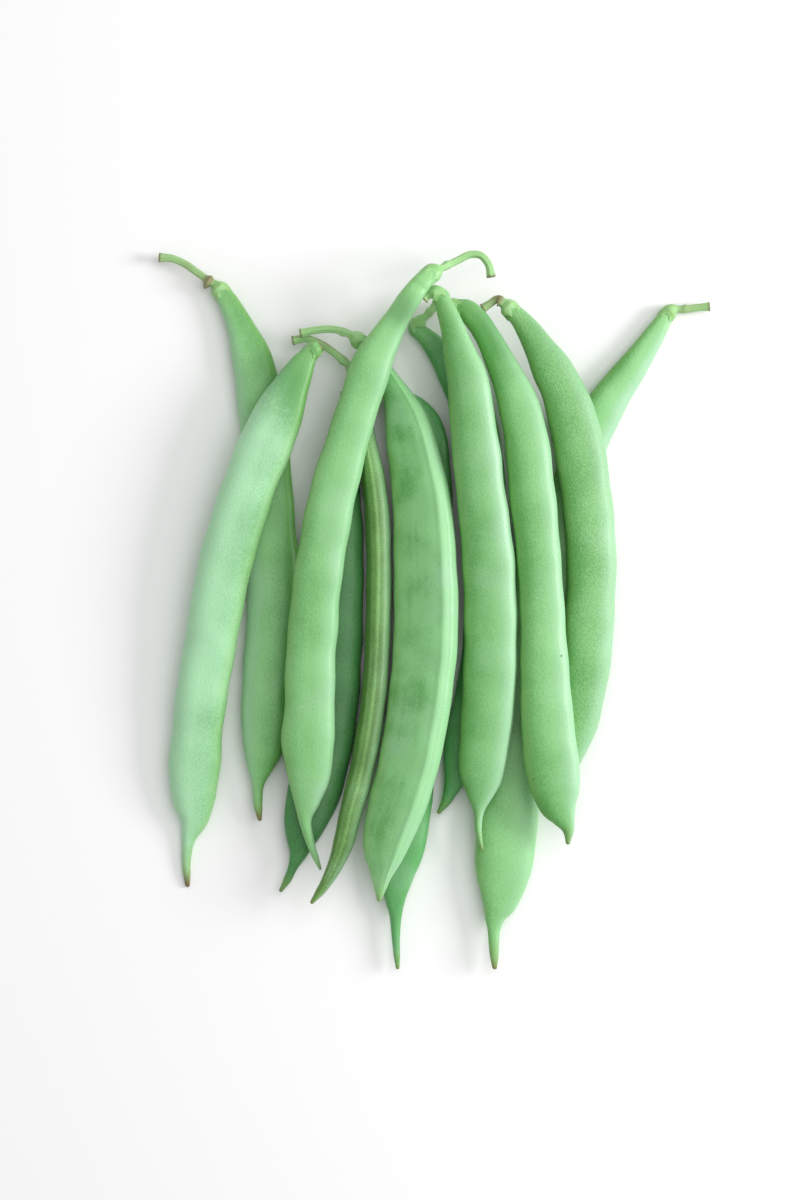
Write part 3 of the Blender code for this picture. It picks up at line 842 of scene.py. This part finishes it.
def skin_colour(graph, finish, colours, fields):
    """The skin's greens, from patches as broad as the pod down to its pores, with the painted sheen on the
    lit side and the edge colour as painted shade on the other.
    """
    grain, seeds, shaded_side, tone, painted_sheen = [fields[key] for key in ("grain", "seeds", "shaded_side", "tone", "painted_sheen")]
    patches = graph.noise(grain, PATCH_SCALE, 1.0)
    mottle = graph.noise(grain, MOTTLE_SCALE, 3.0, 0.55)
    pores = graph.noise(grain, PORE_SCALE, 2.0, 0.6)
    drawn = graph.node("ShaderNodeVectorMath", {"operation": "MULTIPLY"}, {0: grain, 1: STREAK_STRETCH})
    streaks = graph.noise(drawn, STREAK_SCALE, 2.0)
    level = (patches - 0.5) * finish.patches + (mottle - 0.5) * finish.mottle + (pores - 0.5) * finish.grain
    level = level + (streaks - 0.5) * finish.streaks
    level = graph.rise(level + tone + seeds * finish.seeds, -LEVEL_SPAN, LEVEL_SPAN)
    deep = opaque(getattr(colours, finish.deep))
    light = opaque(getattr(colours, finish.light))
    colour = graph.mix(level, deep, light)
    bloom_and_sheen = graph.rise(graph.noise(grain, BLOOM_SCALE, 2.0), *BLOOM_FADE)
    # The bloom colour goes on in random patches of real wax bloom, and as a painted sheen on the lit upper
    # shoulder
    bloom_and_sheen = bloom_and_sheen * level * BLOOM_SHARE + painted_sheen * PAINTED_SHEEN_SHARE
    colour = graph.mix(bloom_and_sheen, colour, opaque(colours.bloom_and_sheen))
    # Painted shade: the yellow-green edge colour is laid on the side away from the lamps
    edge = graph.rise(shaded_side, *SHADED_SIDE_FADE) * (0.35 + mottle) * finish.edge
    return graph.mix(edge, colour, opaque(colours.edge)), mottle, pores


def specks(graph, grain):
    """A few dark pin pricks, none in most places."""
    cells = {"Vector": grain, "Scale": SPECK_SCALE}
    near = graph.node("ShaderNodeTexVoronoi", {}, cells, "Distance")
    pick = graph.split(graph.node("ShaderNodeTexVoronoi", {}, cells, "Color"), "X")
    return (1 - graph.rise(near, *SPECK_EDGE)) * graph.rise(pick, *SPECK_PICK)


def skin_material(slot, colours):
    """The waxy skin of one material slot, from the stalk's cut end to the beak."""
    finish = FINISHES[slot]
    graph = Graph(slot)
    grain = graph.attribute("grain")
    reach = graph.attribute("reach")
    parts = graph.attribute("parts")
    from_lip = graph.split(reach, "X")
    from_tip = graph.split(reach, "Y")
    from_cut = graph.split(reach, "Z")
    cup = graph.split(parts, "X")
    habit = graph.attribute("habit")
    fields = {"grain": grain, "seeds": graph.split(parts, "Y"), "shaded_side": graph.split(parts, "Z"),
              "tone": graph.split(habit, "X"), "painted_sheen": graph.split(habit, "Y")}
    colour, mottle, pores = skin_colour(graph, finish, colours, fields)
    neck = (1 - graph.rise(from_lip, *NECK_FADE)) * NECK_SHARE
    colour = graph.mix(neck, colour, opaque(colours.neck))
    colour = graph.mix(specks(graph, grain) * SPECK_SHARE, colour, opaque(colours.speck))
    dryness = graph.split(habit, "Z")
    beak = 1 - graph.rise(from_tip * (1.3 - dryness * 0.7) + (mottle - 0.5) * 6, *BEAK_FADE)
    beak = beak * (0.35 + dryness * 0.5)
    colour = graph.mix(beak, colour, opaque(colours.beak))
    dry = 1 - graph.rise(from_tip * (1.3 - dryness * 0.8) + (pores - 0.5) * 2.5, *DRY_FADE)
    dry = dry * dryness
    colour = graph.mix(dry, colour, opaque(colours.dry))
    stalk = 1 - graph.rise(from_lip, *STALK_FADE)
    browned = graph.rise(mottle * 0.5 + dryness * 0.6, *BROWN_FADE)
    stalk_colour = graph.mix(browned, opaque(colours.stalk), opaque(colours.stalk_brown))
    colour = graph.mix(stalk, colour, stalk_colour)
    blotches = graph.rise(mottle, *BLOTCH_FADE)
    cup_colour = graph.mix(blotches, opaque(colours.calyx), opaque(colours.stalk))
    colour = graph.mix(cup, colour, cup_colour)
    cut = (1 - graph.rise(from_cut + (pores - 0.5) * 1.2, *CUT_FADE)) * CUT_SHARE
    colour = graph.mix(cut, colour, opaque(colours.cut))
    height = graph.noise(grain, ROUGH_SCALE, 3.0, 0.6)
    relief = {"Strength": 0.5, "Distance": finish.rough, "Height": height}
    bump = graph.node("ShaderNodeBump", {}, relief, "Normal")
    roughness = 0.4 + (mottle - 0.5) * 0.2 + (pores - 0.5) * 0.2 + stalk * 0.15 + dry * 0.2
    surface = graph.node("ShaderNodeBsdfPrincipled", {}, {
        "Base Color": colour,
        "Roughness": roughness,
        "IOR": 1.42,
        "Normal": bump,
        "Subsurface Weight": 0.12,
        "Subsurface Radius": (0.9, 1.0, 0.35),
        "Subsurface Scale": 0.0015,
        "Coat Weight": 0.2,
        "Coat Roughness": 0.3,
    }, "BSDF")
    graph.node("ShaderNodeOutputMaterial", {}, {"Surface": surface})
    return graph.material


def linear(srgb):
    """8-bit sRGB as linear light."""
    return tuple(((c / 255 + 0.055) / 1.055) ** 2.4 for c in srgb)


def colour_property(name, description, srgb):
    """A colour property, whose default is given as 8-bit sRGB."""
    return FloatVectorProperty(name=name, description=description, subtype="COLOR", size=3,
                               min=0.0, max=1.0, default=linear(srgb))


class BEANS_PG_shape(bpy.types.PropertyGroup):
    """Sizes of the fine forms."""

    ring_step: FloatProperty(
        name="Ring step", description="Distance between two rings of a pod's body",
        default=0.0006, min=0.0003, max=0.004, subtype="DISTANCE", unit="LENGTH", precision=5)
    sides: IntProperty(
        name="Sides", description="Points round each ring of a pod", default=72, min=16, max=128)
    seam_ridge: FloatProperty(
        name="Seam ridge", description="Height of the ridges along a pod's seam",
        default=0.0003, min=0.0, max=0.0006, subtype="DISTANCE", unit="LENGTH", precision=5)
    lobe_length: FloatProperty(
        name="Lobe length", description="How far the calyx's pointed lobes reach down the neck",
        default=0.0019, min=0.0, max=0.003, subtype="DISTANCE", unit="LENGTH", precision=5)
    unevenness: FloatProperty(
        name="Unevenness", description="Height of the soft waves in the skin",
        default=0.00018, min=0.0, max=0.0005, subtype="DISTANCE", unit="LENGTH", precision=5)


class BEANS_PG_colours(bpy.types.PropertyGroup):
    """Colours of the skins and of the parts of a pod."""

    pale_deep: colour_property("Pale skin, deep", "Deeper patches of the palest pod", (96, 164, 90))
    pale_light: colour_property("Pale skin, light", "Lighter patches of the palest pod", (176, 230, 182))
    green_deep: colour_property("Green skin, deep", "Deeper patches of the common skin", (78, 150, 66))
    green_light: colour_property("Green skin, light", "Lighter patches of the common skin", (144, 206, 136))
    # The deep skin's colours are painted shade for the pods that lie under the others
    painted_shade_deep: colour_property("Deep skin, deep", "Deeper patches of the darkest pods", (44, 106, 48))
    painted_shade_light: colour_property("Deep skin, light", "Lighter patches of the darkest pods", (98, 170, 100))
    seam_deep: colour_property("Seam skin, deep", "Deeper patches by the upturned seam", (76, 120, 44))
    seam_light: colour_property("Seam skin, light", "Lighter patches by the upturned seam", (136, 190, 112))
    mottled_deep: colour_property("Mottled skin, deep", "Patches over the seeds", (72, 150, 60))
    mottled_light: colour_property("Mottled skin, light", "Skin between the seeds", (142, 206, 136))
    grainy_deep: colour_property("Grainy skin, deep", "Deeper grain", (82, 150, 70))
    grainy_light: colour_property("Grainy skin, light", "Lighter grain", (140, 198, 128))
    # The bloom colour is both the real wax bloom and the painted sheen on a pod's lit shoulder
    bloom_and_sheen: colour_property("Bloom", "Thin wax that lies on the skin in broad patches", (160, 204, 166))
    # The edge colour is painted shade, laid on the side of a pod away from the lamps
    edge: colour_property("Edge", "Yellow-green of the seam edges", (152, 196, 112))
    neck: colour_property("Neck", "Yellow-green below the calyx", (144, 198, 122))
    calyx: colour_property("Calyx", "Pale green of the calyx cup", (146, 192, 116))
    stalk: colour_property("Stalk", "Green of the stalk", (152, 200, 132))
    stalk_brown: colour_property("Stalk, browned", "Browned patches of the stalk", (136, 134, 92))
    cut: colour_property("Cut end", "Dried end of the stalk", (112, 92, 66))
    beak: colour_property("Beak", "Yellow-green of the beak", (128, 166, 92))
    dry: colour_property("Dry tip", "Dried point of the beak", (120, 96, 58))
    speck: colour_property("Specks", "Small dark marks", (48, 72, 34))


class BEANS_PG_stage(bpy.types.PropertyGroup):
    """Floor, lights and camera."""

    floor: colour_property("Floor", "Colour of the plain floor", (246, 246, 246))
    floor_size: FloatProperty(
        name="Floor size", description="Side of the square floor",
        default=8.0, subtype="DISTANCE", unit="LENGTH")
    key_power: FloatProperty(
        name="Key light", description="Power of the large soft light overhead",
        default=6.0, min=0.0, unit="POWER")
    side_power: FloatProperty(
        name="Side light", description="Power of the low light at the right",
        default=9.0, min=0.0, unit="POWER")
    sky: FloatProperty(
        name="Sky", description="Strength of the even light from all sides", default=0.5, min=0.0)
    camera_height: FloatProperty(
        name="Camera height", description="Height of the camera above the floor",
        default=1.51, subtype="DISTANCE", unit="LENGTH")
    lens: FloatProperty(
        name="Lens", description="Focal length in millimetres", default=150.0, min=20.0, unit="CAMERA")


class BEANS_OT_lay_pods(bpy.types.Operator):
    """Lays the thirteen pods, one after another, and gives each its skin"""

    bl_idname = "beans.lay_pods"
    bl_label = "Lay pods"

    def execute(self, context):
        shape = context.scene.beans_shape
        skins = {slot: skin_material(slot, context.scene.beans_colours) for slot in FINISHES}
        ground = HeightMap()
        for pod in PODS:
            lay(pod, ground)
            mesh = FineSkin(pod, shape).mesh(pod.name + "_skin")
            mesh.shade_smooth()
            mesh.materials.append(skins[pod.finish])
            piece = bpy.data.objects.new(pod.name + "_skin", mesh)
            context.scene.collection.objects.link(piece)
            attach(piece, "root")
            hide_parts(pod.name)
        return {"FINISHED"}


def soft_light(name, place, size, power):
    """A square light at place, turned to the origin."""
    data = bpy.data.lights.new(name, "AREA")
    data.shape = "SQUARE"
    data.size = size
    data.energy = power
    light = bpy.data.objects.new(name, data)
    light.location = place
    x, y, z = place
    tilt = np.arctan2(np.hypot(x, y), z)
    heading = np.arctan2(y, x) + np.pi / 2
    light.rotation_mode = "XYZ"
    light.rotation_euler = (tilt, 0.0, heading)
    bpy.context.scene.collection.objects.link(light)


class BEANS_OT_set_stage(bpy.types.Operator):
    """Sets the pale floor, the soft lights and the camera that looks straight down"""

    bl_idname = "beans.set_stage"
    bl_label = "Set stage"

    def execute(self, context):
        stage = context.scene.beans_stage
        self.floor(context.scene, stage)
        self.sky(context.scene, stage)
        soft_light("key", KEY_PLACE, KEY_SIZE, stage.key_power)
        soft_light("side", SIDE_PLACE, SIDE_SIZE, stage.side_power)
        self.camera(context.scene, stage)
        return {"FINISHED"}

    def floor(self, scene, stage):
        """A plain square sheet, a hair under the pods."""
        half = stage.floor_size / 2
        plan = ((-half, -half), (half, -half), (half, half), (-half, half))
        corners = [(x, y, -FLOOR_DROP) for x, y in plan]
        mesh = bpy.data.meshes.new("floor")
        mesh.from_pydata(corners, [], [(0, 1, 2, 3)])
        graph = Graph("floor")
        surface = graph.node("ShaderNodeBsdfPrincipled", {}, {
            "Base Color": opaque(stage.floor), "Roughness": 0.7, "Specular IOR Level": 0.2}, "BSDF")
        graph.node("ShaderNodeOutputMaterial", {}, {"Surface": surface})
        mesh.materials.append(graph.material)
        sheet = bpy.data.objects.new("floor", mesh)
        scene.collection.objects.link(sheet)

    def sky(self, scene, stage):
        """Even white light from all sides."""
        scene.world = bpy.data.worlds.new("sky")
        scene.world.use_nodes = True
        light = scene.world.node_tree.nodes["Background"]
        light.inputs["Color"].default_value = (1.0, 1.0, 1.0, 1.0)
        light.inputs["Strength"].default_value = stage.sky

    def camera(self, scene, stage):
        """Looks straight down, with the stalks at the top of the picture."""
        scene.view_settings.view_transform = "Standard"
        data = bpy.data.cameras.new("camera")
        data.lens = stage.lens
        camera = bpy.data.objects.new("camera", data)
        camera.location = (*CAMERA_PLAN, stage.camera_height)
        scene.collection.objects.link(camera)
        scene.camera = camera


class BEANS_PT_bundle(bpy.types.Panel):
    """Sizes, colours and steps of the green bean bundle"""

    bl_idname = "BEANS_PT_bundle"
    bl_label = "Green bean bundle"
    bl_space_type = "VIEW_3D"
    bl_region_type = "UI"
    bl_category = "Beans"

    def draw(self, context):
        layout = self.layout
        scene = context.scene
        for group in (scene.beans_shape, scene.beans_colours, scene.beans_stage):
            box = layout.box()
            for key in group.__annotations__:
                box.prop(group, key)
        layout.operator("beans.lay_pods")
        layout.operator("beans.set_stage")


CLASSES = (
    BEANS_PG_shape, BEANS_PG_colours, BEANS_PG_stage,
    BEANS_OT_lay_pods, BEANS_OT_set_stage, BEANS_PT_bundle,
)


def register():
    for item in CLASSES:
        bpy.utils.register_class(item)
    bpy.types.Scene.beans_shape = PointerProperty(type=BEANS_PG_shape)
    bpy.types.Scene.beans_colours = PointerProperty(type=BEANS_PG_colours)
    bpy.types.Scene.beans_stage = PointerProperty(type=BEANS_PG_stage)


def unregister():
    del bpy.types.Scene.beans_stage
    del bpy.types.Scene.beans_colours
    del bpy.types.Scene.beans_shape
    for item in reversed(CLASSES):
        bpy.utils.unregister_class(item)


def main():
    register()
    bpy.ops.beans.lay_pods()
    bpy.ops.beans.set_stage()


if __name__ == "__main__":
    main()
